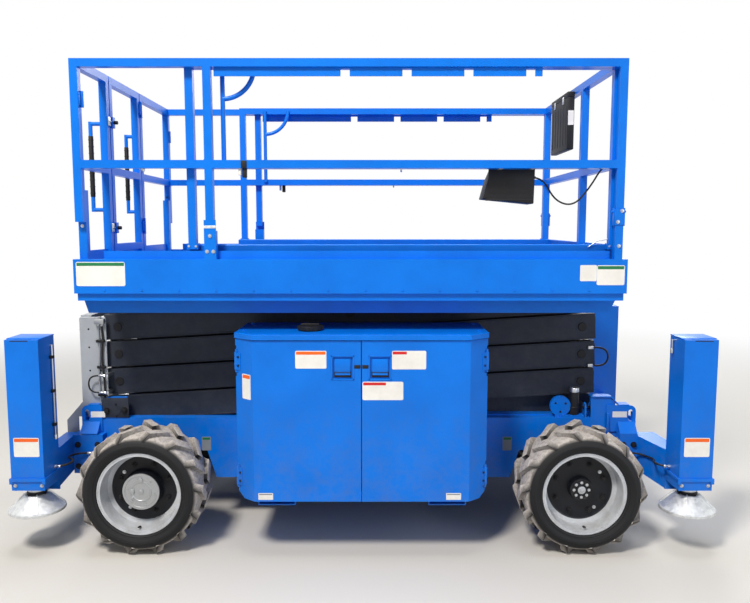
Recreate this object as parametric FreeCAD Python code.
import FreeCAD, Part
import math
import os

# Rough-terrain scissor lift, stowed. Millimetres, +X to the steered end, +Y to the machine's left, +Z up.
# The origin is on the ground, midway between the axles and on the centreline.

# Running gear
WHEELS_INSIDE = 379.0
WHEEL_Y = 722.5
TYRE_R = 330.0
TYRE_WIDTH = 305.0
CARCASS_R = 304.0
CARCASS_FACETS = 30
LUGS = 14
LUG_LEAN_DEG = 38.0
LUG_WIDE = 42.0
LUG_START_Y = 12.0
LUG_CROWN_Y = 112.0
LUG_TIP_R = 282.0
LUG_ROOT_R = 290.0
RIM_FLANGE_R = 217.0
RIM_LIP = 9.0
BEAD_GAP = 0.3
RIM_WALL = 9.0
RIM_WIDTH = 262.0
DISC_R = 180.0
DISC_FACE_Y = 28.0
DISC_THICK = 12.0
REAR_HUB_R = 98.0
REAR_HUB_FACE_Y = 92.0
FRONT_HUB_R = 58.0
FRONT_HUB_FACE_Y = 64.0
SPINDLE_R = 36.0
SPINDLE_GAP = 0.3
SPINDLE_END_GAP = 4.0
SLEEVE_R = 58.0
SLEEVE_LENGTH = 56.0
KINGPIN_Y = 620.0
KINGPIN_R = 22.0
YOKE_HALF_Z = 112.0
YOKE_EAR = 24.0
YOKE_HALF_X = 48.0
KNUCKLE_GAP = 2.0
AXLE_HALF = 58.0
AXLE_PIN_R = 30.0
GEAR_CASE_SWELL = 32.0
GEAR_CASE_HALF_Y = 150.0
AXLE_BELL_SWELL = 24.0
AXLE_BELL_LENGTH = 130.0
HUB_BACK = 8.0
PIN_GAP = 0.3
TIE_ARM = 115.0
TIE_END_R = 22.0
TIE_END_HIGH = 32.0
TIE_ROD_R = 14.0
TIE_PIN_R = 8.5
TIE_PIN_GAP = 0.3

# Chassis
FRAME_BEHIND = 193.0
FRAME_AHEAD = 290.0
SADDLE_HALF = 60.0
SADDLE_IN = 200.0
RAIL_IN = 340.0
RAIL_OUT = 400.0
RAIL_TOP = 610.0
RAIL_BOTTOM = 260.0
ARCH_TOP = 420.0
ARCH_HALF = 300.0
CROSS_TOP = 530.0
MOUNT_OUT = 460.0
MOUNT_BOTTOM = 320.0
MOUNT_TOP = 526.0
MOUNT_WIDTH = 168.0
MOUNT_PROUD = 38.0
FRONT_MOUNT_WIDTH = 102.0
PLATE = 12.0
TONGUE_IN = 74.0
TONGUE_OUT = 110.0
TONGUE_HALF_Y = 100.0
TONGUE_DROP = 60.0
TIE_DOWN_TOP = 730.0
TIE_DOWN_LIP = 655.0
TIE_DOWN_LENGTH = 252.0
TIE_SLOT_W = 24.0
TIE_SLOT_H = 74.0

# Scissor stack
LEVELS = 4
ARM_LENGTH = 2669.0
ARM_RISE = 158.0
ARM_HEIGHT = 145.0
ARM_END = 75.0
STACK_SHIFT = 72.5
PIVOT_Z = 651.0
OUTER_OUT = 330.0
OUTER_IN = 280.0
INNER_OUT = 265.0
INNER_IN = 215.0
TUBE_R = 28.0
BORE_GAP = 0.4
CAP_R = 23.0
CAP_PROUD = 6.0
BRACE_R = 26.0
BRACE_ALONG = 600.0
ROLLER_R = 35.0
ROLLER_GAP = 0.5
TRACK_THICK = 30.0
TRACK_SPARE = 110.0
RISE_MAX_DEG = 53.1

# Upright can and round lug in front of the stack
CAN_R = 26.0
CAN_BACK = 47.0
CAN_TOP = 779.0
SHELF_THICK = 14.0
LUG_BACK = 80.0
EYE_R = 58.0
EYE_INSET = 20.0
EYE_HIGH = 64.0

# Lift cylinder between the first and the second inner arms
CYL_LOWER = 100.0
CYL_SHORT = 214.5
BARREL_R = 54.0
BARREL_BORE_R = 38.0
BARREL_REACH = 700.0
BARREL_START = 80.0
TUBE_START = 30.0
BARREL_MOUTH = 60.0
BARREL_EYE_R = 48.0
BARREL_EYE_HALF = 45.0
BARREL_EYE_GAP = 0.5
PISTON_ROD_R = 28.0
PISTON_ROD_GAP = 0.6
PISTON_START = 86.0
PISTON_LENGTH = 50.0
ROD_EYE_R = 38.0
ROD_EYE_HALF = 30.0
ROD_EYE_BORE = 22.0
LUG_R = 40.0
LUG_IN = 35.0
LUG_OUT = 50.0
LUG_BOSS = 10.0
LUG_DROP = 15.0
LUG_TUBE_R = 20.0
LUG_TUBE_OFF = 50.0

# Outriggers
LEG_AHEAD = 163.0
LEG_Y = 752.0
HOUSING_X = 170.0
HOUSING_Y = 180.0
HOUSING_WALL = 8.0
HOUSING_TOP = 1129.0
HOUSING_BOTTOM = 345.0
ARM_FOOT_Z = 290.0
COLLAR_Z = 410.0
COLLAR_OUT = 8.0
COLLAR_HIGH = 16.0
LEG_GAP = 6.0
WEAR_GAP = 0.3
WEAR_HIGH = 60.0
LEG_TOP = 1040.0
ARM_TOP_DROP = 25.0
SLOT_LENGTH = 90.0
SLOT_FROM_FACE = 16.0
SLOT_WIDE = 10.0
NECK_R = 44.0
PAD_R = 141.5
PAD_RIM_Z = 214.0
PAD_DOME_Z = 300.0
PAD_DOME_R = 62.0
PAD_WALL = 10.0

# Side compartments
TRAY_CLEAR = 170.0
TRAY_CHAMFER = 98.0
TRAY_FACE_Y = 875.0
TRAY_EDGE_Y = 795.0
TRAY_BOTTOM = 300.0
TRAY_TOP = 1130.0
TRAY_WALL = 6.0
LID_HIGH = 25.0
LID_OUT = 4.0
DOOR_THICK = 22.0
DOOR_GAP = 4.0
DOOR_CLIP = 40.0
HINGE_R = 9.0
HINGE_PIN_R = 5.0
HINGE_PIN_GAP = 0.3
HINGE_LENGTH = 90.0
HINGE_EAR = 12.0
HINGE_EAR_GAP = 2.0
HINGE_INSET = 3.0
HINGE_LOW_Z = 410.0
HINGE_HIGH_Z = 1015.0
FORK_INSET = 197.0
FORK_HALF = 99.0
FORK_BOTTOM = 238.0
FORK_WALL = 6.0
CAP_X = -270.0
CAP_Y = 700.0
FILLER_R = 65.0
FILLER_HIGH = 18.0
FILLER_STEP = 15.0
NECK_HIGH = 8.0
CONTENT_GAP = 20.0
CONTENT_FRONT_GAP = 130.0
TANK_INSET = 125.0
TANK_END_X = -60.0
TANK_TOP = 1114.0
ENGINE_START_X = -250.0
ENGINE_INSET = 225.0
ENGINE_TOP = 900.0
LATCH_W = 109.0
LATCH_H = 120.0
LATCH_X = 94.0
LATCH_Z = 994.0
LATCH_DEEP = 10.0

# Platform
DECK_BEHIND = 46.0
DECK_AHEAD = 79.0
DECK_OUT = 800.0
FASCIA = 40.0
FASCIA_TOP = 1533.0
FASCIA_BOTTOM = 1360.0
LIP_BOTTOM = 1322.0
LIP_IN = 18.0
FLOOR_TOP = 1420.0
FLOOR_THICK = 25.0
BEAM_OUT = 700.0
BEAM_IN = 640.0
BEAM_BOTTOM = 1250.0
BEAM_TAPER_REAR = 30.0
BEAM_TAPER_FRONT = 55.0
END_PLATE = 30.0
STACK_ROOM = 400.0
JOISTS = 6
JOIST_FROM_REAR = 353.0
JOIST_FROM_FRONT = 441.0
JOIST_W = 50.0
TOE_TOP = 1574.0
TOE_THICK = 8.0
TOE_FROM_REAR = 143.0
TOE_FROM_FRONT = 81.0
DECK_TRACK_PAST = 60.0
DECK_TRACK_GAP = 5.0
TUBE = 40.0
RAIL_Z = 2517.0
MID_RAISE = 57.5
POST_INSET = 20.0
POST_SPACING = 653.0
FRONT_POST_BACK = 69.0
STUB_DROP = 146.0
STUB_LAP = 160.0
BRACKET_TOP = 1676.0
BRACKET_HALF = 30.0
HINGE_GAP = 24.0
JOINT_DROP = 281.0
NOTCH_PLATE_START = 53.0
NOTCH_PLATE_END = 379.0
NOTCH_START = 701.0
NOTCH_PITCH = 304.8
NOTCHES = 4
NOTCH_W = 45.0
NOTCH_PLATE_H = 43.0
NOTCH_PLATE_T = 8.0
GATE_NEAR_Y = -380.0
GATE_FAR_Y = 150.0
GATE_GAP = 12.0
GATE_BOTTOM = 1600.0
GATE_FOOT = 1465.0
GATE_HINGE_OUT = 9.0
GATE_HINGE_R = 7.0
GATE_PIN_R = 3.5
GATE_PIN_GAP = 0.3
GATE_HINGE_LENGTH = 80.0
GATE_EAR = 8.0
GATE_HINGE_LOW_Z = 1660.0
GATE_HINGE_DROP = 140.0
HANDLE_R = 11.0
HANDLE_OUT = 70.0
HANDLE_LOW_DROP = 248.0
HANDLE_HIGH_DROP = 250.0
KICK_BACK = 10.0
KICK_THICK = 8.0

# Extension deck
EXT_BEHIND = 533.0
EXT_SHORT = 31.0
EXT_FLOOR_TOP = 1450.0
EXT_FLOOR_THICK = 22.0
RUNNER_Y = 600.0
RUNNER_W = 40.0
RUNNER_GAP = 0.3
EXT_OUT = 720.0
EXT_TOE_TOP = 1600.0
EXT_RAIL_OUT = 755.0
EXT_SKIN = 12.0
EXT_INSET = 8.0
POST_FOOT = 8.0
POST_FOOT_HIGH = 30.0
CONTROL_LENGTH = 267.0
CONTROL_FROM_FRONT = 426.0
CONTROL_DEEP = 150.0
CONTROL_HANG = 216.0
PAPERS_DEEP = 42.0
PAPERS_Y = (-40.0, 360.0)
PAPERS_DROP = 362.0
EXT_RAIL_BOTTOM = 1582.0
EXT_MIDDLE_POST_Y = -180.0
EXT_POST_LIFT = 30.0
PUSH_AHEAD = 200.0
PUSH_BAR_R = 12.0
PUSH_BEND = 160.0

# Ladder
LADDER_BEHIND = 7.0
LADDER_AHEAD = 135.0
LADDER_Y = (-364.0, 150.0)
LADDER_TOP = 1182.0
LADDER_BOTTOM = 360.0
LADDER_PLATE = 8.0
RUNGS = 3
RUNG_PITCH = 260.0
RUNG_FIRST_Z = 390.0
RUNG_DEEP = 60.0
RUNG_HIGH = 26.0
STEP_OUT = 66.0

# Places that follow from the sizes above
AXLE_X = (ARM_LENGTH - WHEELS_INSIDE) / 2
PIVOT_X = -ARM_LENGTH / 2 - STACK_SHIFT
CHASSIS_REAR_X = PIVOT_X - FRAME_BEHIND
CHASSIS_FRONT_X = PIVOT_X + ARM_LENGTH + FRAME_AHEAD
LEG_X = CHASSIS_FRONT_X + LEG_AHEAD
CYL_UPPER = ARM_LENGTH / 2 - CYL_SHORT
TRAY_HALF = AXLE_X - TYRE_R - TRAY_CLEAR
TRAY_FACE_HALF = TRAY_HALF - TRAY_CHAMFER
HINGE_X = TRAY_HALF - HINGE_INSET
FORK_X = TRAY_HALF - FORK_INSET
DECK_REAR_X = PIVOT_X - DECK_BEHIND
DECK_FRONT_X = PIVOT_X + ARM_LENGTH + DECK_AHEAD
DECK_TRACK_OUT = OUTER_OUT + DECK_TRACK_PAST
JOIST_FIRST_X = DECK_REAR_X + JOIST_FROM_REAR
JOIST_PITCH = (DECK_FRONT_X - JOIST_FROM_FRONT - JOIST_FIRST_X) / (JOISTS - 1)
REAR_POST_X = DECK_REAR_X + POST_INSET
MIDDLE_POST_X = REAR_POST_X + POST_SPACING
FRONT_POST_X = DECK_FRONT_X - FRONT_POST_BACK
EXT_REAR_X = REAR_POST_X + EXT_BEHIND
EXT_FRONT_X = DECK_FRONT_X - EXT_SHORT
EXT_POST_X = EXT_REAR_X + POST_INSET
PUSH_BAR_X = EXT_REAR_X + PUSH_AHEAD
LADDER_X = (CHASSIS_REAR_X - LADDER_BEHIND, CHASSIS_REAR_X + LADDER_AHEAD)
MID_Z = (RAIL_Z + FLOOR_TOP) / 2 + MID_RAISE
FRONT_JOINT_Z = MID_Z - JOINT_DROP
GATE_HINGES_Z = (GATE_HINGE_LOW_Z, RAIL_Z - GATE_HINGE_DROP)
LUG_END_Y = TYRE_WIDTH / 2 - LUG_WIDE / 2 * math.sin(math.radians(LUG_LEAN_DEG)) - 0.5
LUG_MIDDLE_Y = (LUG_START_Y + LUG_END_Y) / 2
TRAY_BACK_Y = RAIL_OUT
AXLE_Z = TYRE_R
SPINDLE_END_Y = WHEEL_Y + DISC_FACE_Y - DISC_THICK - HUB_BACK - SPINDLE_END_GAP
REST_ANGLE = math.asin(ARM_RISE / ARM_LENGTH)
STEP_X = ARM_LENGTH * math.cos(REST_ANGLE)
SLIDE_END_X = PIVOT_X + ARM_LENGTH * math.cos(REST_ANGLE + math.radians(RISE_MAX_DEG))
RIGHT_X = PIVOT_X + STEP_X
TOP_PIVOT_Z = PIVOT_Z + LEVELS * ARM_RISE
UP = FreeCAD.Vector(0, 0, 1)
AXES = {"x": FreeCAD.Vector(1, 0, 0), "y": FreeCAD.Vector(0, 1, 0), "z": UP}
SIDES = (("right", -1), ("left", 1))
ENDS = (("front", 1), ("rear", -1))

os.makedirs("parts", exist_ok=True)


def box(x0, x1, y0, y1, z0, z1):
    low = FreeCAD.Vector(min(x0, x1), min(y0, y1), min(z0, z1))
    return Part.makeBox(abs(x1 - x0), abs(y1 - y0), abs(z1 - z0), low)


def pair(x0, x1, y0, y1, z0, z1):
    """The same box on both sides of the centreline."""
    return [box(x0, x1, side * y0, side * y1, z0, z1) for _, side in SIDES]


def bar(axis, radius, start, end, a, b):
    """A round bar along one axis; a and b are its place on the other two, in X, Y, Z order."""
    points = {"x": (start, a, b), "y": (a, start, b), "z": (a, b, start)}
    return Part.makeCylinder(radius, end - start, FreeCAD.Vector(*points[axis]), AXES[axis])


def plate(plane, points, start, end):
    """A flat outline drawn on plane xz, xy or yz and given a thickness from start to end."""
    order = {"xz": lambda a, b: (a, start, b), "xy": lambda a, b: (a, b, start),
             "yz": lambda a, b: (start, a, b)}[plane]
    along = {"xz": AXES["y"], "xy": AXES["z"], "yz": AXES["x"]}[plane]
    ring = [FreeCAD.Vector(*order(a, b)) for a, b in points]
    face = Part.Face(Part.makePolygon(ring + ring[:1]))
    return face.extrude(along * (end - start))


def turned(profile, x, z, side, hub_y):
    """A profile of (distance out from hub_y, radius), turned about a wheel's axle."""
    ring = [FreeCAD.Vector(x, side * (hub_y + out), z + radius) for out, radius in profile]
    face = Part.Face(Part.makePolygon(ring + ring[:1]))
    return face.revolve(FreeCAD.Vector(x, 0, z), AXES["y"], 360)


def join(shapes):
    return shapes[0].multiFuse(shapes[1:]).removeSplitter()


def mirrored(shape):
    return shape.mirror(FreeCAD.Vector(0, 0, 0), AXES["y"])


def on_side(shape, side):
    """A shape drawn on the left, at +Y, put on either side."""
    return shape if side > 0 else mirrored(shape)


def at_corner(shape, end, side):
    """A shape drawn at the front left corner, put at any corner."""
    if end < 0 and side < 0:
        shape.rotate(FreeCAD.Vector(0, 0, 0), UP, 180)
        return shape
    if end < 0:
        return shape.mirror(FreeCAD.Vector(0, 0, 0), AXES["x"])
    return on_side(shape, side)


def save(node, *shapes):
    shape = shapes[0] if len(shapes) == 1 else Part.makeCompound(list(shapes))
    shape.exportStep("parts/" + node + ".step")


# Chassis frame: two side rails raised over the axles, cross members, pivot brackets and slide tracks

def side_rail(side):
    mount_front = CHASSIS_FRONT_X - FRONT_MOUNT_WIDTH
    outline = [
        (CHASSIS_REAR_X, MOUNT_BOTTOM),
        (-AXLE_X - ARCH_HALF, MOUNT_BOTTOM),
        (-AXLE_X - ARCH_HALF + 50, ARCH_TOP),
        (-AXLE_X + ARCH_HALF - 50, ARCH_TOP),
        (-AXLE_X + ARCH_HALF, RAIL_BOTTOM),
        (AXLE_X - ARCH_HALF, RAIL_BOTTOM),
        (AXLE_X - ARCH_HALF + 50, ARCH_TOP),
        (mount_front - 50, ARCH_TOP),
        (mount_front, MOUNT_BOTTOM),
        (CHASSIS_FRONT_X, MOUNT_BOTTOM),
        (CHASSIS_FRONT_X, RAIL_TOP),
        (CHASSIS_REAR_X, RAIL_TOP),
    ]
    return on_side(plate("xz", outline, RAIL_IN, RAIL_OUT), side)


def tie_down(end, side):
    """The lashing plate on each corner of the frame, with its rounded eye."""
    tip = CHASSIS_FRONT_X if end > 0 else -CHASSIS_REAR_X
    root = tip - TIE_DOWN_LENGTH
    outline = [(root, CROSS_TOP), (tip, CROSS_TOP), (tip, TIE_DOWN_LIP - 30), (tip - 22, TIE_DOWN_LIP),
               (root + 150, TIE_DOWN_LIP), (root + 110, TIE_DOWN_TOP), (root, TIE_DOWN_TOP)]
    lip = plate("xz", outline, RAIL_OUT - 2 * PLATE, RAIL_OUT)
    eye_x = tip - 15 - TIE_SLOT_W
    eye_z = (RAIL_TOP + TIE_DOWN_LIP) / 2 - 40
    slot = box(eye_x, eye_x + TIE_SLOT_W, RAIL_IN - 50, MOUNT_OUT, eye_z, eye_z + TIE_SLOT_H)
    slot = slot.makeFillet(TIE_SLOT_W / 2 - 1, [e for e in slot.Edges if abs(e.BoundBox.YLength) > 50])
    return at_corner(lip.cut(slot), end, side)


def eye_gap(end, side):
    """The same eye, cut through the rail behind the lashing plate."""
    tip = CHASSIS_FRONT_X if end > 0 else -CHASSIS_REAR_X
    eye_x = tip - 15 - TIE_SLOT_W
    eye_z = (RAIL_TOP + TIE_DOWN_LIP) / 2 - 40
    slot = box(eye_x, eye_x + TIE_SLOT_W, RAIL_IN - 5, RAIL_OUT + 5, eye_z, eye_z + TIE_SLOT_H)
    return at_corner(slot, end, side)


def side_frame(side_name, side):
    """One rail with its lashing plates and the plates that the outriggers are bolted to."""
    solids = [side_rail(1), tie_down(1, 1), tie_down(-1, 1)]
    solids.append(box(CHASSIS_REAR_X - MOUNT_PROUD, CHASSIS_REAR_X - MOUNT_PROUD + MOUNT_WIDTH, RAIL_OUT,
                      MOUNT_OUT, MOUNT_BOTTOM - 15, MOUNT_TOP))
    solids.append(box(CHASSIS_FRONT_X - FRONT_MOUNT_WIDTH, CHASSIS_FRONT_X, RAIL_OUT, MOUNT_OUT,
                      MOUNT_BOTTOM, CROSS_TOP))
    frame = join(solids)
    for end in (1, -1):
        frame = frame.cut(eye_gap(end, 1))
    frame = frame.cut(bar("y", TUBE_R + BORE_GAP, 0, MOUNT_OUT, PIVOT_X, PIVOT_Z))
    save("side_frame_" + side_name, on_side(frame, side))


def chassis_frame():
    """Cross members between the two rails, each fused with what it carries, and the slide tracks."""
    def member(x0, x1, z0):
        return box(x0, x1, -RAIL_IN, RAIL_IN, z0, CROSS_TOP)

    solids = [member(x0, x1, RAIL_BOTTOM) for x0, x1 in
              ((-AXLE_X + ARCH_HALF + 20, -AXLE_X + ARCH_HALF + 100), (-40, 40),
               (AXLE_X - ARCH_HALF - 100, AXLE_X - ARCH_HALF - 20))]
    solids.append(member(CHASSIS_FRONT_X - 60, CHASSIS_FRONT_X, MOUNT_BOTTOM))
    # Two members in front with the tongues and pin that carry the oscillating axle
    carrier = [bar("x", AXLE_PIN_R, AXLE_X - TONGUE_OUT - 10, AXLE_X + TONGUE_OUT + 10, 0, AXLE_Z)]
    for x0, x1 in ((AXLE_X - TONGUE_OUT, AXLE_X - TONGUE_IN), (AXLE_X + TONGUE_IN, AXLE_X + TONGUE_OUT)):
        carrier += [member(x0, x1, ARCH_TOP),
                    box(x0, x1, -TONGUE_HALF_Y, TONGUE_HALF_Y, AXLE_Z - TONGUE_DROP, ARCH_TOP)]
    solids.append(join(carrier))
    # Member over the rear axle with the saddles that the axle is bolted to
    saddles = pair(-AXLE_X - SADDLE_HALF, -AXLE_X + SADDLE_HALF, SADDLE_IN, RAIL_IN,
                   AXLE_Z + AXLE_HALF, ARCH_TOP)
    solids.append(join([member(-AXLE_X - 90, -AXLE_X + 90, ARCH_TOP)] + saddles))
    # Member under the lowest pivots with the brackets beside the outer arms
    brackets = pair(PIVOT_X - 60, PIVOT_X + 60, INNER_OUT - 40, INNER_OUT, CROSS_TOP, PIVOT_Z + 50)
    hole = bar("y", TUBE_R + BORE_GAP, -RAIL_OUT, RAIL_OUT, PIVOT_X, PIVOT_Z)
    solids.append(join([member(PIVOT_X - 70, PIVOT_X + 90, ARCH_TOP)] + brackets).cut(hole))
    # Rearmost member with the end plates between the outriggers
    ends = pair(CHASSIS_REAR_X - MOUNT_PROUD, CHASSIS_REAR_X, 100, RAIL_OUT, MOUNT_BOTTOM, MOUNT_TOP)
    solids.append(join([member(CHASSIS_REAR_X, CHASSIS_REAR_X + 60, MOUNT_BOTTOM)] + ends))
    # Slide tracks under the first inner arms' rollers
    track_top = PIVOT_Z - ROLLER_R - ROLLER_GAP
    solids += pair(SLIDE_END_X - TRACK_SPARE, RIGHT_X + TRACK_SPARE, INNER_OUT + 7, RAIL_IN,
                   track_top - TRACK_THICK, track_top)
    save("chassis_frame", *solids)


def front_bracket():
    """The upright can and its round lug on the rails, in front of the stack."""
    out = RAIL_OUT - SHELF_THICK
    can_x, lug_x, shelf_top = RIGHT_X - CAN_BACK, RIGHT_X - CAN_BACK - LUG_BACK, RAIL_TOP + SHELF_THICK
    whole = join([
        box(can_x - CAN_R * 3, can_x + CAN_R * 2, RAIL_IN, RAIL_OUT - 2, RAIL_TOP, shelf_top),
        bar("z", CAN_R, shelf_top, CAN_TOP, can_x, RAIL_OUT - CAN_R - 3),
        bar("y", EYE_R, RAIL_IN + EYE_INSET, out, lug_x, RAIL_TOP + EYE_HIGH),
        box(lug_x - EYE_R / 2, lug_x + EYE_R / 2, RAIL_IN + EYE_INSET, out, RAIL_TOP, RAIL_TOP + EYE_HIGH)])
    save("front_brackets", whole, on_side(whole, -1))


# Axles, knuckles and wheels

def front_axle():
    x0, x1 = AXLE_X - AXLE_HALF, AXLE_X + AXLE_HALF
    inner = KINGPIN_Y - YOKE_HALF_X
    solids = [box(x0, x1, -inner + 40, inner - 40, AXLE_Z - AXLE_HALF, AXLE_Z + AXLE_HALF)]
    for _, side in SIDES:
        solids.append(box(AXLE_X - YOKE_HALF_X, AXLE_X + YOKE_HALF_X, side * (inner - 70),
                          side * (inner - 24), AXLE_Z - YOKE_HALF_Z, AXLE_Z + YOKE_HALF_Z))
        for up in (-1, 1):
            solids.append(box(AXLE_X - YOKE_HALF_X, AXLE_X + YOKE_HALF_X, side * (inner - 70),
                              side * (KINGPIN_Y + 34), AXLE_Z + up * YOKE_HALF_Z,
                              AXLE_Z + up * (YOKE_HALF_Z - YOKE_EAR)))
        solids.append(bar("z", KINGPIN_R, AXLE_Z - YOKE_HALF_Z - 8, AXLE_Z + YOKE_HALF_Z + 8,
                          AXLE_X, side * KINGPIN_Y))
    axle = join(solids)
    save("front_axle", axle.cut(bar("x", AXLE_PIN_R + PIN_GAP, x0 - 10, x1 + 10, 0, AXLE_Z)))


def rear_axle():
    solids = [bar("y", AXLE_HALF, -KINGPIN_Y, KINGPIN_Y, -AXLE_X, AXLE_Z)]
    solids.append(bar("y", AXLE_HALF + GEAR_CASE_SWELL, -GEAR_CASE_HALF_Y, GEAR_CASE_HALF_Y,
                      -AXLE_X, AXLE_Z))
    for _, side in SIDES:
        start, end = sorted((side * (KINGPIN_Y - AXLE_BELL_LENGTH), side * KINGPIN_Y))
        solids.append(bar("y", AXLE_HALF + AXLE_BELL_SWELL, start, end, -AXLE_X, AXLE_Z))
        start, end = sorted((side * KINGPIN_Y, side * SPINDLE_END_Y))
        solids.append(bar("y", SPINDLE_R, start, end, -AXLE_X, AXLE_Z))
    cut = pair(-AXLE_X - ARCH_HALF, -AXLE_X + ARCH_HALF, 0, RAIL_IN, AXLE_Z + AXLE_HALF, CROSS_TOP)
    save("rear_axle", join(solids).cut(Part.makeCompound(cut)))


def knuckle(side):
    half = YOKE_HALF_Z - YOKE_EAR - KNUCKLE_GAP
    body = box(AXLE_X - 40, AXLE_X + 40, side * (KINGPIN_Y - 32), side * (KINGPIN_Y + 52),
               AXLE_Z - half, AXLE_Z + half)
    start, end = sorted((side * KINGPIN_Y, side * SPINDLE_END_Y))
    spindle = bar("y", SPINDLE_R, start, end, AXLE_X, AXLE_Z)
    arm = box(AXLE_X - TIE_ARM - 20, AXLE_X, side * (KINGPIN_Y - 20), side * (KINGPIN_Y + 20),
              AXLE_Z - half, AXLE_Z - half + 22)
    shape = join([body, spindle, arm])
    shape = shape.cut(bar("z", KINGPIN_R + PIN_GAP, AXLE_Z - 150, AXLE_Z + 150, AXLE_X, side * KINGPIN_Y))
    pin = bar("z", TIE_PIN_R + TIE_PIN_GAP, 0, AXLE_Z, AXLE_X - TIE_ARM, side * KINGPIN_Y)
    save("knuckle_front_" + ("left" if side > 0 else "right"), shape.cut(pin))


def tie_rod():
    """The rod that keeps the two knuckles parallel, pinned straight behind each kingpin."""
    half = YOKE_HALF_Z - YOKE_EAR - KNUCKLE_GAP
    top = AXLE_Z - half - KNUCKLE_GAP
    x, low = AXLE_X - TIE_ARM, top - TIE_END_HIGH
    reach = KINGPIN_Y - TIE_END_R / 2
    solids = [bar("y", TIE_ROD_R, -reach, reach, x, (low + top) / 2)]
    for _, side in SIDES:
        solids.append(bar("z", TIE_END_R, low, top, x, side * KINGPIN_Y))
        solids.append(bar("z", TIE_PIN_R, low, AXLE_Z - half + 24, x, side * KINGPIN_Y))
    save("tie_rod", join(solids))


def tyre_profile():
    """Section of the carcass as (distance out from the wheel's middle, radius), from bead to bead."""
    half, bead = TYRE_WIDTH / 2, RIM_WIDTH / 2 - 8
    seat = (RIM_FLANGE_R - RIM_LIP) / math.cos(math.pi / CARCASS_FACETS)
    edge = [(bead, seat), (bead, RIM_FLANGE_R + 4), (half - 6, RIM_FLANGE_R + 24), (half - 5, LUG_TIP_R - 6),
            (half - 34, CARCASS_R)]
    return [(-out, radius) for out, radius in edge] + edge[::-1]


def carcass():
    """The tyre's body at the origin, turned in flats so that its mesh stays light."""
    profile = tyre_profile()
    rings = []
    for n in range(CARCASS_FACETS):
        turn = 2 * math.pi * n / CARCASS_FACETS
        rings.append([FreeCAD.Vector(radius * math.sin(turn), out, radius * math.cos(turn))
                      for out, radius in profile])
    faces = []
    for n, ring in enumerate(rings):
        after = rings[(n + 1) % CARCASS_FACETS]
        for i in range(len(profile)):
            j = (i + 1) % len(profile)
            corners = [ring[i], ring[j], after[j], after[i]]
            faces.append(Part.Face(Part.makePolygon(corners + corners[:1])))
    solid = Part.makeSolid(Part.makeShell(faces))
    if solid.Volume < 0:
        solid.reverse()
    return solid


def lug_half_x(y):
    """How far a lug's edge stands from the middle of its length, along the tread, at this y."""
    lean = math.radians(LUG_LEAN_DEG)
    return abs(y - LUG_MIDDLE_Y) * math.tan(lean) + LUG_WIDE / 2 * math.cos(lean)


def tread_lug():
    """One bar of the chevron tread, on top of a wheel at the origin, from the middle to the shoulder."""
    lean = math.radians(LUG_LEAN_DEG)
    along = FreeCAD.Vector(math.sin(lean), math.cos(lean), 0)
    across = FreeCAD.Vector(math.cos(lean), -math.sin(lean), 0)
    section = [(LUG_START_Y, LUG_ROOT_R),
               (LUG_START_Y, math.sqrt(TYRE_R ** 2 - lug_half_x(LUG_START_Y) ** 2)),
               (LUG_CROWN_Y, math.sqrt(TYRE_R ** 2 - lug_half_x(LUG_CROWN_Y) ** 2)),
               (LUG_END_Y, LUG_TIP_R), (LUG_CROWN_Y, LUG_ROOT_R - 8)]
    ring = []
    for y, z in section:
        reach = (y - LUG_MIDDLE_Y) / math.cos(lean)
        ring.append(along * reach - across * (LUG_WIDE / 2) + FreeCAD.Vector(0, LUG_MIDDLE_Y, z))
    return Part.Face(Part.makePolygon(ring + ring[:1])).extrude(across * LUG_WIDE)


def tyre():
    """A tyre at the origin: carcass with two staggered rows of lugs, one corner exactly at the bottom."""
    lug = tread_lug()
    to_bottom = 180 + math.degrees(math.asin(lug_half_x(LUG_START_Y) / TYRE_R))
    lugs = []
    for row, start in ((lug, 0.0), (mirrored(lug), 180.0 / LUGS)):
        for n in range(LUGS):
            bar_shape = row.copy()
            bar_shape.rotate(FreeCAD.Vector(0, 0, 0), AXES["y"], to_bottom + start + n * 360.0 / LUGS)
            lugs.append(bar_shape)
    return carcass().multiFuse(lugs)


def rim_profile(hub_r, hub_face):
    """Closed section of barrel, recessed disc and hub, from the axle out, outer side last."""
    half, well = RIM_WIDTH / 2, RIM_FLANGE_R - RIM_LIP - BEAD_GAP
    back = DISC_FACE_Y - DISC_THICK
    seat = SPINDLE_R + SPINDLE_GAP
    return [(back - 8, 0.0), (back - 8, seat), (back - SLEEVE_LENGTH, seat), (back - SLEEVE_LENGTH, SLEEVE_R),
            (back - 8, SLEEVE_R + 4), (back - 8, DISC_R - 30), (back, DISC_R - 12), (back, well - RIM_WALL),
            (-half, well - RIM_WALL), (-half, RIM_FLANGE_R), (-half + 7, RIM_FLANGE_R),
            (-half + 7, well), (half - 7, well), (half - 7, RIM_FLANGE_R), (half, RIM_FLANGE_R),
            (half, well - RIM_WALL), (DISC_FACE_Y + 14, well - RIM_WALL - 6), (DISC_FACE_Y, DISC_R - 16),
            (DISC_FACE_Y, hub_r + 6), (DISC_FACE_Y + 8, hub_r), (hub_face, hub_r), (hub_face, 0.0)]


def wheel(end_name, end, side_name, side):
    x = end * AXLE_X
    rubber = TYRE.copy()
    rubber.translate(FreeCAD.Vector(AXLE_X, WHEEL_Y, AXLE_Z))
    save("tyre_" + end_name + "_" + side_name, at_corner(rubber, end, side))
    hub_r, hub_face = (FRONT_HUB_R, FRONT_HUB_FACE_Y) if end > 0 else (REAR_HUB_R, REAR_HUB_FACE_Y)
    profile = [(out, max(radius, 0.0)) for out, radius in rim_profile(hub_r, hub_face)]
    rim = turned(profile, x, AXLE_Z, side, WHEEL_Y)
    save("wheel_" + end_name + "_" + side_name, rim)


# Outriggers

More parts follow.
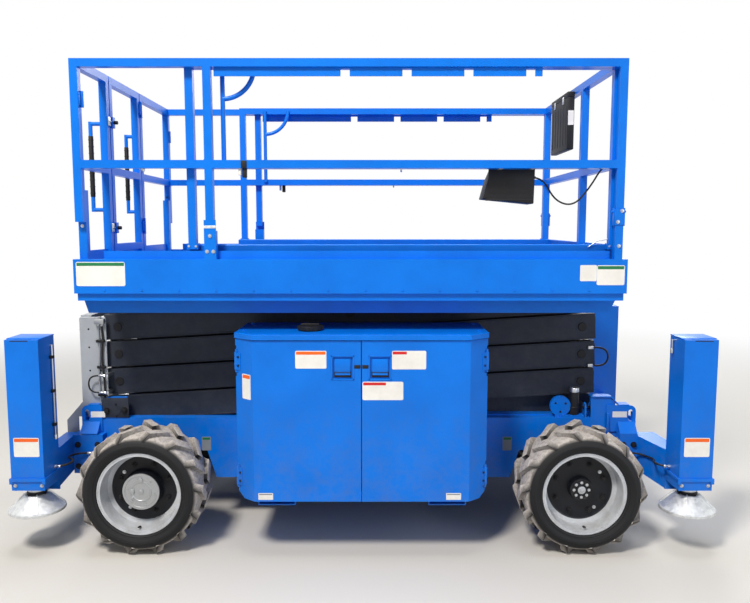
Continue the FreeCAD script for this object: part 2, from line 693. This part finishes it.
def outrigger_arm(end_name, end, side_name, side):
    half_x, half_y = HOUSING_X / 2, HOUSING_Y / 2
    inner_y = LEG_Y - half_y
    root = CHASSIS_FRONT_X
    reach = inner_y + HOUSING_WALL / 2
    outline = [(root, RAIL_OUT), (root, MOUNT_OUT), (LEG_X - half_x + 2, reach), (LEG_X + 5, reach),
               (root + 110, RAIL_OUT)]
    if end < 0:
        root = -CHASSIS_REAR_X + MOUNT_PROUD
        outline = [(root, RAIL_OUT), (root, MOUNT_OUT), (root + 4, reach),
                   (LEG_X + 5, reach), (root + 60, RAIL_OUT)]
    side_view = [(RAIL_OUT, MOUNT_BOTTOM + 5), (MOUNT_OUT, MOUNT_BOTTOM + 5), (reach, ARM_FOOT_Z + 2),
                 (reach, CROSS_TOP - ARM_TOP_DROP), (RAIL_OUT, CROSS_TOP - 4)]
    arm = plate("xy", outline, ARM_FOOT_Z, RAIL_TOP).common(plate("yz", side_view, root, LEG_X + HOUSING_X))
    x0, x1 = LEG_X - half_x, LEG_X + half_x
    y0, y1 = LEG_Y - half_y, LEG_Y + half_y
    wall = HOUSING_WALL
    outer = box(x0, x1, y0, y1, HOUSING_BOTTOM, HOUSING_TOP)
    collar = box(x0 - COLLAR_OUT, x1 + COLLAR_OUT, y0, y1 + COLLAR_OUT, COLLAR_Z - COLLAR_HIGH, COLLAR_Z)
    foot = box(x0, x1, y0, y0 + wall, ARM_FOOT_Z, HOUSING_BOTTOM + 5)
    hollow = box(x0 + wall, x1 - wall, y0 + wall, y1 - wall, HOUSING_BOTTOM - 10, HOUSING_TOP - 10)
    slot = box(LEG_X - SLOT_LENGTH / 2, LEG_X + SLOT_LENGTH / 2,
               y1 - SLOT_FROM_FACE - SLOT_WIDE, y1 - SLOT_FROM_FACE,
               HOUSING_TOP - HOUSING_WALL - 4, HOUSING_TOP + 5)
    shape = join([arm, outer, collar, foot]).cut(hollow).cut(slot)
    save("outrigger_" + end_name + "_" + side_name, at_corner(shape, end, side))


def outrigger_leg(end_name, end, side_name, side):
    inset = HOUSING_WALL + LEG_GAP
    half_x, half_y = HOUSING_X / 2 - inset, HOUSING_Y / 2 - inset
    x, y = end * LEG_X, side * LEG_Y
    leg = box(x - half_x, x + half_x, y - half_y, y + half_y, HOUSING_BOTTOM + 20, LEG_TOP)
    pad_out = LEG_GAP - WEAR_GAP
    wear = box(x - half_x - pad_out, x + half_x + pad_out, y - half_y - pad_out, y + half_y + pad_out,
               LEG_TOP - WEAR_HIGH, LEG_TOP)
    neck = bar("z", NECK_R, PAD_DOME_Z - PAD_WALL - 4, HOUSING_BOTTOM + 30, x, y)
    section = [(0.0, PAD_DOME_Z - PAD_WALL), (PAD_DOME_R - 6, PAD_DOME_Z - PAD_WALL),
               (PAD_R - 12, PAD_RIM_Z), (PAD_R, PAD_RIM_Z), (PAD_R, PAD_RIM_Z + 12),
               (PAD_R - 10, PAD_RIM_Z + 16), (PAD_DOME_R, PAD_DOME_Z), (0.0, PAD_DOME_Z)]
    ring = [FreeCAD.Vector(x + radius, y, z) for radius, z in section]
    pad = Part.Face(Part.makePolygon(ring + ring[:1])).revolve(FreeCAD.Vector(x, y, 0), UP, 360)
    save("leg_" + end_name + "_" + side_name, join([leg, wear, neck, pad]))


# Side compartments and their doors

def shell_outline(inset):
    """Plan of a compartment's front, drawn on the left side: hinge edge, chamfer, face."""
    return [(-TRAY_HALF + inset, TRAY_EDGE_Y), (-TRAY_FACE_HALF + inset * 0.6, TRAY_FACE_Y - inset),
            (TRAY_FACE_HALF - inset * 0.6, TRAY_FACE_Y - inset), (TRAY_HALF - inset, TRAY_EDGE_Y)]


def tray(side_name, side):
    wall, x = TRAY_WALL, TRAY_HALF - 14
    front = TRAY_EDGE_Y - DOOR_THICK - 4
    solids = [box(-x, x, TRAY_BACK_Y, front, TRAY_BOTTOM, TRAY_BOTTOM + 2 * wall),
              box(-x, x, TRAY_BACK_Y, TRAY_BACK_Y + wall, TRAY_BOTTOM, TRAY_TOP),
              box(-x, -x + wall, TRAY_BACK_Y, front, TRAY_BOTTOM, TRAY_TOP),
              box(x - wall, x, TRAY_BACK_Y, front, TRAY_BOTTOM, TRAY_TOP)]
    top = shell_outline(-LID_OUT)
    outline = [(-TRAY_HALF - LID_OUT, TRAY_BACK_Y)] + [(a, b + LID_OUT) for a, b in top]
    outline.append((TRAY_HALF + LID_OUT, TRAY_BACK_Y))
    solids.append(plate("xy", outline, TRAY_TOP + DOOR_GAP, TRAY_TOP + DOOR_GAP + LID_HIGH))
    solids.append(box(-x, x, TRAY_BACK_Y, front, TRAY_TOP - 10, TRAY_TOP + DOOR_GAP + 2))
    for centre in (-FORK_X, FORK_X):
        sleeve = box(centre - FORK_HALF, centre + FORK_HALF, RAIL_OUT, TRAY_EDGE_Y - 30,
                     FORK_BOTTOM, TRAY_BOTTOM)
        hollow = box(centre - FORK_HALF + FORK_WALL, centre + FORK_HALF - FORK_WALL, RAIL_OUT - 10,
                     TRAY_EDGE_Y, FORK_BOTTOM + FORK_WALL, TRAY_BOTTOM - FORK_WALL / 2)
        solids.append(sleeve.cut(hollow))
    # Hinge pins at the outer edges, each held by two ears
    for end in (-1, 1):
        for z in (HINGE_LOW_Z, HINGE_HIGH_Z):
            reach = HINGE_LENGTH / 2 + HINGE_EAR_GAP
            solids.append(bar("z", HINGE_PIN_R, z - reach - HINGE_EAR, z + reach + HINGE_EAR,
                              end * HINGE_X, TRAY_EDGE_Y))
            for z0 in (z - reach - HINGE_EAR, z + reach):
                solids.append(box(end * (x - wall), end * (HINGE_X + 4), front - 8, TRAY_EDGE_Y + 4,
                                  z0, z0 + HINGE_EAR))
    save("tray_" + side_name, on_side(join(solids), side))


def door(side_name, side, end_name, end):
    """One folded door: flat face, chamfered edge with the hinge, lower corner clipped."""
    inner_x = DOOR_GAP / 2
    t = DOOR_THICK
    outline = [(inner_x, TRAY_FACE_Y), (TRAY_FACE_HALF, TRAY_FACE_Y), (TRAY_HALF, TRAY_EDGE_Y),
               (TRAY_HALF - t * 1.1, TRAY_EDGE_Y - 4), (TRAY_FACE_HALF - t * 0.3, TRAY_FACE_Y - t),
               (inner_x, TRAY_FACE_Y - t)]
    panel = plate("xy", outline, TRAY_BOTTOM, TRAY_TOP)
    clip = plate("xz", [(TRAY_HALF + 1, TRAY_BOTTOM - 1), (TRAY_HALF + 1, TRAY_BOTTOM + DOOR_CLIP),
                        (TRAY_HALF - DOOR_CLIP, TRAY_BOTTOM - 1)],
                 TRAY_EDGE_Y - 2 * DOOR_THICK, TRAY_FACE_Y + 1)
    pocket = box(LATCH_X - LATCH_W / 2, LATCH_X + LATCH_W / 2, TRAY_FACE_Y - LATCH_DEEP, TRAY_FACE_Y + 1,
                 LATCH_Z - LATCH_H / 2, LATCH_Z + LATCH_H / 2)
    shape = panel.cut(clip).cut(pocket)
    paddle = box(LATCH_X - LATCH_W / 2 + 16, LATCH_X + LATCH_W / 2 - 16, TRAY_FACE_Y - LATCH_DEEP,
                 TRAY_FACE_Y - 2, LATCH_Z - LATCH_H / 2 + 22, LATCH_Z + LATCH_H / 2 - 30)
    solids = [shape, paddle]
    for z in (HINGE_LOW_Z, HINGE_HIGH_Z):
        solids.append(bar("z", HINGE_R, z - HINGE_LENGTH / 2, z + HINGE_LENGTH / 2, HINGE_X, TRAY_EDGE_Y))
    shape = join(solids)
    notch = HINGE_EAR + 2 * HINGE_EAR_GAP
    for z in (HINGE_LOW_Z, HINGE_HIGH_Z):
        shape = shape.cut(bar("z", HINGE_PIN_R + HINGE_PIN_GAP, z - 80, z + 80, HINGE_X, TRAY_EDGE_Y))
        for z0 in (z - HINGE_LENGTH / 2 - notch, z + HINGE_LENGTH / 2):
            shape = shape.cut(box(TRAY_HALF - 36, TRAY_HALF + 5, TRAY_EDGE_Y - 30, TRAY_EDGE_Y + 14,
                                  z0, z0 + notch))
    save("door_" + side_name + "_" + end_name, at_corner(shape, end, side))


def compartment_contents():
    """The two heavy masses behind the doors as plain blocks, and the filler cap on the lid."""
    floor = TRAY_BOTTOM + 2 * TRAY_WALL
    inner, outer = TRAY_BACK_Y + CONTENT_GAP, TRAY_FACE_Y - CONTENT_FRONT_GAP
    save("fuel_tank", box(-TRAY_HALF + TANK_INSET, TANK_END_X, -outer, -inner, floor, TANK_TOP))
    save("engine_block", box(ENGINE_START_X, TRAY_HALF - ENGINE_INSET, inner, outer, floor, ENGINE_TOP))
    lid = TRAY_TOP + DOOR_GAP + LID_HIGH
    neck = bar("z", FILLER_R - FILLER_STEP, lid, lid + NECK_HIGH, CAP_X, -CAP_Y)
    cap = bar("z", FILLER_R, lid + NECK_HIGH - 2, lid + NECK_HIGH - 2 + FILLER_HIGH, CAP_X, -CAP_Y)
    save("filler_cap", join([neck, cap]))


# Scissor arms

def on_arm(level, rising, along, off=0.0):
    """The (x, z) of a point on an arm's centreline, measured from its left end."""
    angle = REST_ANGLE if rising else -REST_ANGLE
    start_z = PIVOT_Z + (level - 1 if rising else level) * ARM_RISE
    x = PIVOT_X + along * math.cos(angle) - off * math.sin(angle)
    z = start_z + along * math.sin(angle) + off * math.cos(angle)
    return x, z


def arm_beam(level, rising, y0, y1):
    half = ARM_HEIGHT / 2
    first, last = -ARM_END, ARM_LENGTH + ARM_END
    corners = [(first, -half), (last, -half), (last, half), (first, half)]
    return plate("xz", [on_arm(level, rising, along, off) for along, off in corners], y0, y1)


def tube_across(level, rising, along, radius, reach):
    x, z = on_arm(level, rising, along)
    return bar("y", radius, -reach, reach, x, z)


def outer_arms(level):
    """Two arms joined by tubes that pass through the inner arms' bores, with a cap on each pin."""
    solids = [arm_beam(level, True, OUTER_IN, OUTER_OUT), arm_beam(level, True, -OUTER_OUT, -OUTER_IN)]
    for along in (0.0, ARM_LENGTH / 2, ARM_LENGTH):
        solids.append(tube_across(level, True, along, TUBE_R, OUTER_OUT))
        solids.append(tube_across(level, True, along, CAP_R, OUTER_OUT + CAP_PROUD))
    if level == LEVELS:
        x, z = on_arm(level, True, ARM_LENGTH)
        for _, side in SIDES:
            start, end = sorted((side * (OUTER_OUT + 2), side * (OUTER_OUT + 48)))
            solids.append(bar("y", ROLLER_R, start, end, x, z))
            solids.append(bar("y", CAP_R, min(side * OUTER_OUT, end), max(side * OUTER_OUT, end), x, z))
    save("outer_arm_" + str(level), join(solids))


def rod_lugs(level):
    """The tube and the two lugs that hold the lift cylinder's rod, on the second inner arms."""
    tx, tz = on_arm(level, False, CYL_UPPER, LUG_TUBE_OFF)
    px, pz = on_arm(level, False, CYL_UPPER, -LUG_DROP)
    shapes = [bar("y", LUG_TUBE_R, -INNER_OUT + 5, INNER_OUT - 5, tx, tz)]
    for _, side in SIDES:
        start, end = sorted((side * LUG_IN, side * LUG_OUT))
        shapes.append(bar("y", LUG_R, start, end, px, pz))
        shapes.append(box(px - LUG_R, px + LUG_R, start, end, pz, tz))
        start, end = sorted((side * LUG_IN, side * (LUG_OUT + LUG_BOSS)))
        shapes.append(bar("y", ROD_EYE_BORE, start, end, px, pz))
    return shapes


def inner_arms(level):
    solids = []
    beams = [arm_beam(level, False, INNER_IN, INNER_OUT), arm_beam(level, False, -INNER_OUT, -INNER_IN)]
    bores = [tube_across(level, False, along, TUBE_R + BORE_GAP, OUTER_OUT)
             for along in (0.0, ARM_LENGTH / 2, ARM_LENGTH)]
    if level == 1:
        bores = bores[:2]
    if level == LEVELS:
        bores = bores[1:]
    brace = {1: CYL_LOWER, 2: None}.get(level, BRACE_ALONG)
    for along in (brace, ARM_LENGTH - BRACE_ALONG):
        if along is not None:
            solids.append(tube_across(level, False, along, BRACE_R, INNER_OUT - 5))
    if level == 2:
        solids += rod_lugs(level)
    if level == 1:
        x, z = on_arm(level, False, ARM_LENGTH)
        for _, side in SIDES:
            start, end = sorted((side * (INNER_OUT + 9), side * (RAIL_IN - 5)))
            solids.append(bar("y", ROLLER_R, start, end, x, z))
            start, end = sorted((side * (INNER_OUT - 5), side * (RAIL_IN - 5)))
            solids.append(bar("y", CAP_R, start, end, x, z))
        solids.append(tube_across(level, False, ARM_LENGTH, TUBE_R, INNER_OUT - 5))
    if level == LEVELS:
        solids.append(tube_across(level, False, 0.0, TUBE_R, OUTER_OUT))
    shape = join(beams + solids)
    for bore in bores:
        shape = shape.cut(bore)
    save("inner_arm_" + str(level), shape)


def lift_cylinder():
    lower = on_arm(1, False, CYL_LOWER)
    upper = on_arm(2, False, CYL_UPPER, -LUG_DROP)
    a = FreeCAD.Vector(lower[0], 0, lower[1])
    b = FreeCAD.Vector(upper[0], 0, upper[1])
    length = (b - a).Length
    along = (b - a).normalize()
    eye = bar("y", BARREL_EYE_R, -BARREL_EYE_HALF, BARREL_EYE_HALF, a.x, a.z)
    tube = Part.makeCylinder(BARREL_R, BARREL_REACH - TUBE_START, a + along * TUBE_START, along)
    hollow = Part.makeCylinder(BARREL_BORE_R, BARREL_REACH - BARREL_START - BARREL_MOUTH,
                               a + along * BARREL_START, along)
    mouth = Part.makeCylinder(PISTON_ROD_R + PISTON_ROD_GAP, BARREL_MOUTH + 20,
                              a + along * (BARREL_REACH - BARREL_MOUTH - 10), along)
    barrel = join([eye, tube]).cut(hollow).cut(mouth)
    pin_hole = bar("y", BRACE_R + BARREL_EYE_GAP, -2 * BARREL_EYE_HALF, 2 * BARREL_EYE_HALF, a.x, a.z)
    barrel = barrel.cut(pin_hole)
    save("lift_barrel", barrel)
    rod_end = length - (ROD_EYE_R + ROD_EYE_BORE) / 2
    rod = Part.makeCylinder(PISTON_ROD_R, rod_end - PISTON_START, a + along * PISTON_START, along)
    piston = Part.makeCylinder(BARREL_BORE_R - PISTON_ROD_GAP, PISTON_LENGTH,
                               a + along * PISTON_START, along)
    rod_eye = bar("y", ROD_EYE_R, -ROD_EYE_HALF, ROD_EYE_HALF, b.x, b.z)
    bore = bar("y", ROD_EYE_BORE, -2 * ROD_EYE_HALF, 2 * ROD_EYE_HALF, b.x, b.z)
    save("lift_rod", join([rod, piston, rod_eye]).cut(bore))


# Platform

def platform_deck():
    """Floor plate with what is welded under it: end plates, joists, hinge brackets and roller tracks."""
    under = FLOOR_TOP - FLOOR_THICK
    solids = [box(DECK_REAR_X, DECK_FRONT_X, -DECK_OUT + FASCIA, DECK_OUT - FASCIA, under, FLOOR_TOP)]
    for x in (DECK_REAR_X, DECK_FRONT_X - END_PLATE):
        solids += pair(x, x + END_PLATE, STACK_ROOM, BEAM_IN, FASCIA_BOTTOM, under)
        solids += pair(x, x + END_PLATE, BEAM_OUT, DECK_OUT - FASCIA, FASCIA_BOTTOM, under)
    for n in range(JOISTS):
        x = JOIST_FIRST_X + n * JOIST_PITCH
        solids += pair(x, x + JOIST_W, DECK_TRACK_OUT, BEAM_IN, FASCIA_BOTTOM + 8, under)
    # Hinge brackets of the top inner arms, and tracks over the top outer arms' rollers
    hole = bar("y", TUBE_R + BORE_GAP, -OUTER_OUT - 5, OUTER_OUT + 5, PIVOT_X, TOP_PIVOT_Z)
    solids += [bracket.cut(hole) for bracket in
               pair(PIVOT_X - 45, PIVOT_X + 60, OUTER_IN, OUTER_OUT, TOP_PIVOT_Z - 46, under)]
    solids += pair(SLIDE_END_X - TRACK_SPARE, DECK_FRONT_X - END_PLATE, OUTER_OUT + DECK_TRACK_GAP,
                   DECK_TRACK_OUT, TOP_PIVOT_Z + ROLLER_R + ROLLER_GAP, under)
    save("platform_deck", join(solids))


def deck_sides():
    """Side channels with lip and toe board, and the lengthwise beams under the floor."""
    under = FLOOR_TOP - FLOOR_THICK
    beam = [(DECK_REAR_X - 4, FASCIA_BOTTOM), (DECK_REAR_X + BEAM_TAPER_REAR, BEAM_BOTTOM),
            (DECK_FRONT_X - BEAM_TAPER_FRONT, BEAM_BOTTOM),
            (DECK_FRONT_X - 3, FASCIA_BOTTOM), (DECK_FRONT_X - 3, under), (DECK_REAR_X, under)]
    channel = join([
        box(DECK_REAR_X, DECK_FRONT_X, DECK_OUT - FASCIA, DECK_OUT, FASCIA_BOTTOM, FASCIA_TOP),
        box(DECK_REAR_X + 10, DECK_FRONT_X - 10, DECK_OUT - LIP_IN - 12, DECK_OUT - LIP_IN,
            LIP_BOTTOM, FASCIA_BOTTOM),
        box(DECK_REAR_X + TOE_FROM_REAR, DECK_FRONT_X - TOE_FROM_FRONT,
            DECK_OUT - FASCIA - TOE_THICK, DECK_OUT - FASCIA, FLOOR_TOP, TOE_TOP)])
    solids = []
    for _, side in SIDES:
        solids += [on_side(channel, side), on_side(plate("xz", beam, BEAM_IN, BEAM_OUT), side)]
    save("deck_sides", *solids)


def tube_x(x0, x1, y_out, z_top):
    return box(x0, x1, y_out - TUBE, y_out, z_top - TUBE, z_top)


def tube_z(x, y_out, z0, z1):
    return box(x, x + TUBE, y_out - TUBE, y_out, z0, z1)


def side_guard(side_name, side):
    """Top and middle rails on three posts with their folding joints, and the notched stop plate."""
    front = FRONT_POST_X + TUBE
    solids = [tube_x(REAR_POST_X, front, DECK_OUT, RAIL_Z), tube_x(REAR_POST_X, front, DECK_OUT, MID_Z)]
    solids.append(tube_z(REAR_POST_X, DECK_OUT, MID_Z - STUB_DROP - STUB_LAP, RAIL_Z))
    solids.append(tube_z(REAR_POST_X, DECK_OUT - TUBE, FLOOR_TOP, MID_Z - STUB_DROP))
    solids.append(tube_z(MIDDLE_POST_X, DECK_OUT, BRACKET_TOP + HINGE_GAP, RAIL_Z))
    middle = MIDDLE_POST_X + TUBE / 2
    solids.append(box(middle - BRACKET_HALF, middle + BRACKET_HALF, DECK_OUT - 6, DECK_OUT,
                      FASCIA_TOP, BRACKET_TOP + HINGE_GAP + 30))
    solids.append(box(middle - BRACKET_HALF, middle + BRACKET_HALF, DECK_OUT - TUBE, DECK_OUT - 6,
                      FASCIA_TOP, BRACKET_TOP))
    solids.append(tube_z(FRONT_POST_X, DECK_OUT, FASCIA_TOP, FRONT_JOINT_Z - 2))
    solids.append(tube_z(FRONT_POST_X, DECK_OUT, FRONT_JOINT_Z + 2, RAIL_Z))
    solids.append(box(FRONT_POST_X - 5, front + 5, DECK_OUT - 6, DECK_OUT + 4, FRONT_JOINT_Z - 40,
                      FRONT_JOINT_Z + 40))
    notch_y = DECK_OUT - TUBE / 2
    stop = box(MIDDLE_POST_X + NOTCH_PLATE_START, FRONT_POST_X - NOTCH_PLATE_END,
               notch_y - NOTCH_PLATE_T / 2, notch_y + NOTCH_PLATE_T / 2,
               RAIL_Z - TUBE - NOTCH_PLATE_H, RAIL_Z - TUBE + 2)
    for n in range(NOTCHES):
        x = MIDDLE_POST_X + NOTCH_START + n * NOTCH_PITCH
        stop = stop.cut(box(x - NOTCH_W / 2, x + NOTCH_W / 2, notch_y - 20, notch_y + 20,
                            RAIL_Z - TUBE - NOTCH_PLATE_H - 1, RAIL_Z - TUBE - 8))
    solids.append(stop)
    save("guard_" + side_name, on_side(join(solids), side))


def rear_guard():
    """Rails each side of the entry, its two posts, kick plates and grab handles."""
    x0, x1 = REAR_POST_X, REAR_POST_X + TUBE
    low_z, high_z = MID_Z - HANDLE_LOW_DROP, RAIL_Z - HANDLE_HIGH_DROP
    solids = []
    for inner, outer in ((GATE_NEAR_Y - TUBE, -DECK_OUT + TUBE), (GATE_FAR_Y + TUBE, DECK_OUT - TUBE)):
        for z in (RAIL_Z, MID_Z):
            solids.append(box(x0, x1, inner, outer, z - TUBE, z))
        post = outer + TUBE if outer < 0 else outer - TUBE
        solids.append(box(x0 + KICK_BACK, x0 + KICK_BACK + KICK_THICK, inner, post, FLOOR_TOP, TOE_TOP))
    for y in (GATE_NEAR_Y - TUBE, GATE_FAR_Y):
        solids.append(box(x0, x1, y, y + TUBE, FLOOR_TOP, RAIL_Z))
    for y in (GATE_NEAR_Y - TUBE / 2, GATE_FAR_Y + TUBE / 2):
        grip_x = x0 - HANDLE_OUT + HANDLE_R
        solids.append(bar("z", HANDLE_R, low_z, high_z, grip_x, y))
        for z in (low_z + HANDLE_R, high_z - HANDLE_R):
            solids.append(bar("x", HANDLE_R, grip_x, x0 + 5, y, z))
    # Pins and ears that carry the gate
    hinge_x, hinge_y = x1 + GATE_HINGE_OUT, GATE_FAR_Y - GATE_GAP / 2
    for z in GATE_HINGES_Z:
        low, high = z - 1 - GATE_EAR, z + GATE_HINGE_LENGTH + 1
        solids.append(bar("z", GATE_PIN_R, low, high + GATE_EAR, hinge_x, hinge_y))
        for z0 in (low, high):
            solids.append(box(x1 - 6, hinge_x + GATE_PIN_R + 1, hinge_y - GATE_PIN_R - 0.5,
                              GATE_FAR_Y + 6, z0, z0 + GATE_EAR))
    save("guard_rear", join(solids))


def gate():
    """The swing gate: a tube frame with a kick plate, hinged at its inner left edge."""
    x0, x1 = REAR_POST_X, REAR_POST_X + TUBE
    y0, y1 = GATE_NEAR_Y + GATE_GAP, GATE_FAR_Y - GATE_GAP
    solids = [box(x0, x1, y0, y0 + TUBE, GATE_FOOT, RAIL_Z), box(x0, x1, y1 - TUBE, y1, GATE_FOOT, RAIL_Z)]
    for z in (RAIL_Z, MID_Z, GATE_BOTTOM):
        solids.append(box(x0, x1, y0, y1, z - TUBE, z))
    solids.append(box(x0 + KICK_BACK, x0 + KICK_BACK + KICK_THICK, y0, y1, GATE_FOOT, GATE_BOTTOM - TUBE))
    hinge_x, hinge_y = x1 + GATE_HINGE_OUT, GATE_FAR_Y - GATE_GAP / 2
    for z in GATE_HINGES_Z:
        solids.append(bar("z", GATE_HINGE_R, z, z + GATE_HINGE_LENGTH, hinge_x, hinge_y))
        solids.append(box(x1 - 2, hinge_x, y1 - 14, hinge_y, z + 10, z + GATE_HINGE_LENGTH - 10))
    bore = bar("z", GATE_PIN_R + GATE_PIN_GAP, GATE_FOOT, RAIL_Z + 10, hinge_x, hinge_y)
    save("gate", join(solids).cut(bore))


# Extension deck

def extension_deck():
    """Sliding floor with raised sides and front, on two runners along the main floor."""
    under, side_in = EXT_FLOOR_TOP - EXT_FLOOR_THICK, EXT_OUT - EXT_INSET - EXT_SKIN
    solids = [box(EXT_REAR_X, EXT_FRONT_X, -side_in, side_in, under, EXT_FLOOR_TOP)]
    solids += pair(EXT_REAR_X, EXT_FRONT_X, side_in, side_in + EXT_SKIN, under, EXT_TOE_TOP)
    solids.append(box(EXT_FRONT_X - EXT_SKIN, EXT_FRONT_X, -side_in - EXT_SKIN, side_in + EXT_SKIN,
                      under, EXT_TOE_TOP))
    solids += pair(EXT_REAR_X, EXT_FRONT_X - EXT_SKIN - 8, RUNNER_Y, RUNNER_Y + RUNNER_W,
                   FLOOR_TOP + RUNNER_GAP, under + 2)
    save("extension_deck", join(solids))


def extension_guard(side_name, side):
    """Inner rails on a rear post and a front corner post, with the bent push handle."""
    front = EXT_FRONT_X - EXT_SKIN
    solids = [tube_x(EXT_POST_X, front, EXT_RAIL_OUT, z) for z in (RAIL_Z, MID_Z)]
    for x, foot_end in ((EXT_POST_X, EXT_POST_X + TUBE + POST_FOOT), (front - TUBE, front)):
        solids.append(tube_z(x, EXT_RAIL_OUT, EXT_RAIL_BOTTOM, RAIL_Z))
        solids.append(box(x - POST_FOOT, foot_end, EXT_OUT - EXT_INSET, EXT_RAIL_OUT, EXT_RAIL_BOTTOM,
                          EXT_RAIL_BOTTOM + POST_FOOT_HIGH))
    y = EXT_RAIL_OUT - TUBE - PUSH_BAR_R + 4
    solids.append(bar("z", PUSH_BAR_R, MID_Z - TUBE / 2, RAIL_Z - TUBE / 2, PUSH_BAR_X, y))
    reach = PUSH_BEND + 2 * PUSH_BAR_R
    bend = Part.makeTorus(PUSH_BEND, PUSH_BAR_R, FreeCAD.Vector(0, 0, 0), UP)
    quarter = bend.common(box(0, reach, -reach, 0, -PUSH_BAR_R * 2, PUSH_BAR_R * 2))
    quarter.rotate(FreeCAD.Vector(0, 0, 0), AXES["x"], 90)
    quarter.translate(FreeCAD.Vector(PUSH_BAR_X, y, RAIL_Z - TUBE / 2))
    solids.append(quarter)
    save("extension_guard_" + side_name, on_side(join(solids), side))


def front_guard():
    """Rails, middle post and kick plate across the extension's front."""
    x1 = EXT_FRONT_X - EXT_SKIN
    x0 = x1 - TUBE
    reach = EXT_RAIL_OUT - TUBE
    solids = [box(x0, x1, -reach, reach, z - TUBE, z) for z in (RAIL_Z, MID_Z)]
    y = EXT_MIDDLE_POST_Y
    solids.append(box(x0, x1, y - TUBE / 2, y + TUBE / 2, EXT_FLOOR_TOP + EXT_POST_LIFT, RAIL_Z))
    save("extension_guard_front", join(solids))


def boxes_on_guard():
    """The hand controls on the right mid rail and the flat papers box on the front guard."""
    y_out, x = -(EXT_RAIL_OUT - TUBE), EXT_FRONT_X - CONTROL_FROM_FRONT
    save("control_box", box(x - CONTROL_LENGTH, x, y_out, y_out + CONTROL_DEEP,
                            MID_Z - CONTROL_HANG, MID_Z + 4))
    x = EXT_FRONT_X - EXT_SKIN - TUBE
    save("document_box", box(x - PAPERS_DEEP, x, PAPERS_Y[0], PAPERS_Y[1],
                             RAIL_Z - PAPERS_DROP, RAIL_Z - TUBE / 2))


def ladder():
    """Two plate stringers that stand on the frame's rear end, with a lower step hung behind it."""
    x0, x1 = LADDER_X
    back = CHASSIS_REAR_X - MOUNT_PROUD
    near, far = LADDER_Y
    outline = [(back - STEP_OUT, LADDER_BOTTOM), (back, LADDER_BOTTOM), (back, RAIL_TOP), (x1, RAIL_TOP),
               (x1, LADDER_TOP), (x0, LADDER_TOP), (x0, RAIL_TOP + 90), (back - STEP_OUT, RAIL_TOP - 20)]
    shapes = [plate("xz", outline, near - LADDER_PLATE, near), plate("xz", outline, far, far + LADDER_PLATE)]
    for n in range(RUNGS + 1):
        z = RUNG_FIRST_Z + n * RUNG_PITCH
        front = back - STEP_OUT if n == 0 else x0
        shapes.append(box(front + 3, front + 3 + RUNG_DEEP, near, far, z, z + RUNG_HIGH))
    save("ladder", join(shapes))


TYRE = tyre()
chassis_frame()
front_bracket()
front_axle()
rear_axle()
tie_rod()
ladder()
compartment_contents()
for side_name, side in SIDES:
    side_frame(side_name, side)
    knuckle(side)
    tray(side_name, side)
    side_guard(side_name, side)
    extension_guard(side_name, side)
    for end_name, end in ENDS:
        wheel(end_name, end, side_name, side)
        outrigger_arm(end_name, end, side_name, side)
        outrigger_leg(end_name, end, side_name, side)
        door(side_name, side, end_name, end)
for level in range(1, LEVELS + 1):
    outer_arms(level)
    inner_arms(level)
lift_cylinder()
platform_deck()
deck_sides()
rear_guard()
gate()
extension_deck()
front_guard()
boxes_on_guard()
